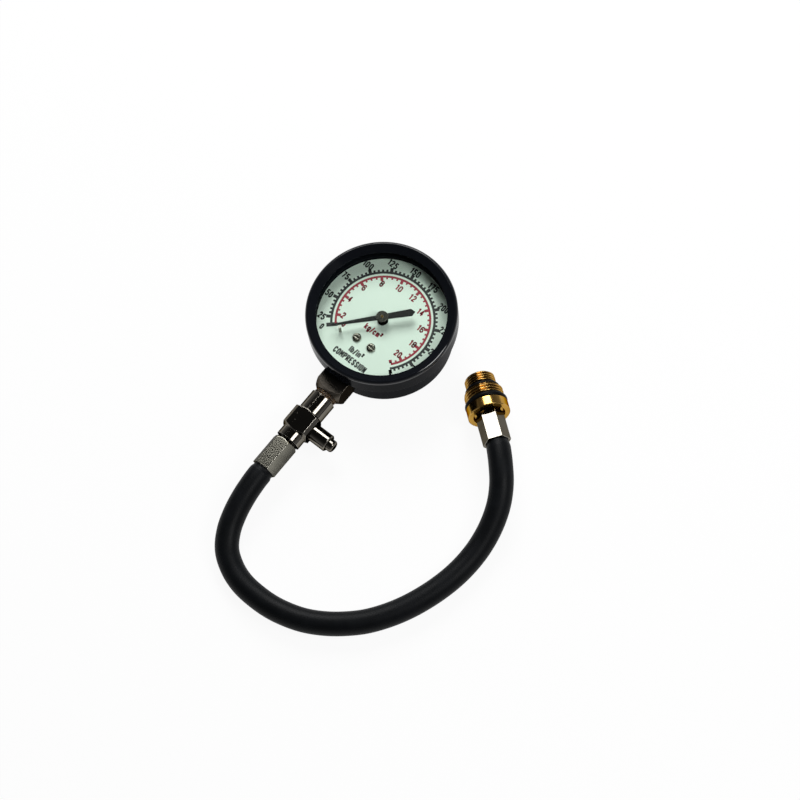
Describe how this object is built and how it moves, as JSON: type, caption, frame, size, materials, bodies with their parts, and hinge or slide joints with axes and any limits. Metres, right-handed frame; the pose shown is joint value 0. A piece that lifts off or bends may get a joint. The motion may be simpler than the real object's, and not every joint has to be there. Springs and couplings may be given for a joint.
{
  "type": "compression tester gauge",
  "caption": "Engine compression tester: black dial gauge on a nickel tee with a push relief button, a short rubber hose and a stepped brass plug adaptor with O-rings.",
  "frame": {"origin": "centre of the flat back of the gauge case, which lies on the floor", "axes": "+Z out through the dial, +Y towards twelve o'clock, the stem along -Y"},
  "size_m": [0.1382, 0.1727, 0.0313],
  "materials": {
    "black_paint": "gloss black baked paint",
    "window": "clear flat window",
    "rubber": "smooth black rubber",
    "dial": "matt white paint with printed scales",
    "screw_steel": "plain turned steel",
    "pointer_black": "satin black paint",
    "brass": "plain turned brass",
    "bronze": "drawn bronze",
    "stem_nickel": "dull nickel plate on brass",
    "nickel": "nickel plate on brass",
    "hose_rubber": "matt black rubber",
    "adaptor_brass": "bright turned brass"
  },
  "bodies": {
    "tester": {"case_cup": "black_paint", "bezel": "black_paint", "window": "window", "window_gasket": "rubber", "dial_plate": "dial", "dial_screws": "screw_steel", "stop_pin": "pointer_black", "hairspring": "bronze", "bourdon_tube": "bronze", "movement_back_plate": "brass", "movement_front_plate": "brass", "movement_pillars": "brass", "movement_screws": "screw_steel", "stem_socket": "stem_nickel", "case_screws": "screw_steel", "inlet_restrictor": "brass", "tee_body": "nickel", "relief_sleeve": "nickel", "relief_spring": "screw_steel", "gauge_nipple": "brass", "gauge_ferrule": "nickel", "hose": "hose_rubber", "adaptor_ferrule": "nickel", "adaptor_nipple": "brass", "plug_adaptor": "adaptor_brass", "large_o_ring": "rubber", "small_o_ring": "rubber", "valve_core": "brass", "valve_spring": "screw_steel"},
    "sector": {"sector_gear": "brass", "sector_arbor": "screw_steel"},
    "pointer": {"pointer": "pointer_black", "pointer_hub": "pointer_black", "pinion_arbor": "brass"},
    "link": {"link": "brass"},
    "tip": {"tube_tip": "brass"},
    "button": {"relief_plunger": "nickel", "relief_seal": "rubber"},
    "check_pin": {"valve_pin": "screw_steel", "valve_seal": "rubber"}
  },
  "joints": [
    {"name": "sector_swing", "type": "hinge", "parent": "tester", "child": "sector", "pos_m": [0.01165, -0.00846, 0.011], "axis": [0, 0, 1], "range_deg": [0, 33.75], "stiffness_Nm_per_rad": 0.04, "springref_deg": -2.86, "deforming": ["bourdon_tube", "hairspring"]},
    {"name": "pointer_turn", "type": "hinge", "parent": "tester", "child": "pointer", "pos_m": [0, 0, 0.02], "axis": [0, 0, 1], "range_deg": [-270, 0]},
    {"name": "link_swing", "type": "hinge", "parent": "sector", "child": "link", "pos_m": [0.01504, -0.01158, 0.012], "axis": [0, 0, 1], "range_deg": [-33.75, 0]},
    {"name": "tip_lift", "type": "slide", "parent": "tester", "child": "tip", "axis": [0.4337, 0.9011, 0], "range_m": [0, 0.00267]},
    {"name": "relief_press", "type": "slide", "parent": "tester", "child": "button", "axis": [-1, 0, 0], "range_m": [0, 0.0018], "stiffness_N_per_m": 500, "springref_m": -0.003, "deforming": ["relief_spring"]},
    {"name": "valve_press", "type": "slide", "parent": "tester", "child": "check_pin", "axis": [0.7754, -0.595, 0.2116], "range_m": [0, 0.0015], "stiffness_N_per_m": 150, "springref_m": -0.002, "deforming": ["valve_spring"]}
  ],
  "couplings": [
    {"joint": "pointer_turn", "follows": "sector_swing", "ratio": -8},
    {"joint": "link_swing", "follows": "sector_swing", "ratio": -1},
    {"joint": "tip_lift", "follows": "sector_swing", "m_per_rad": 0.0045337}
  ]
}
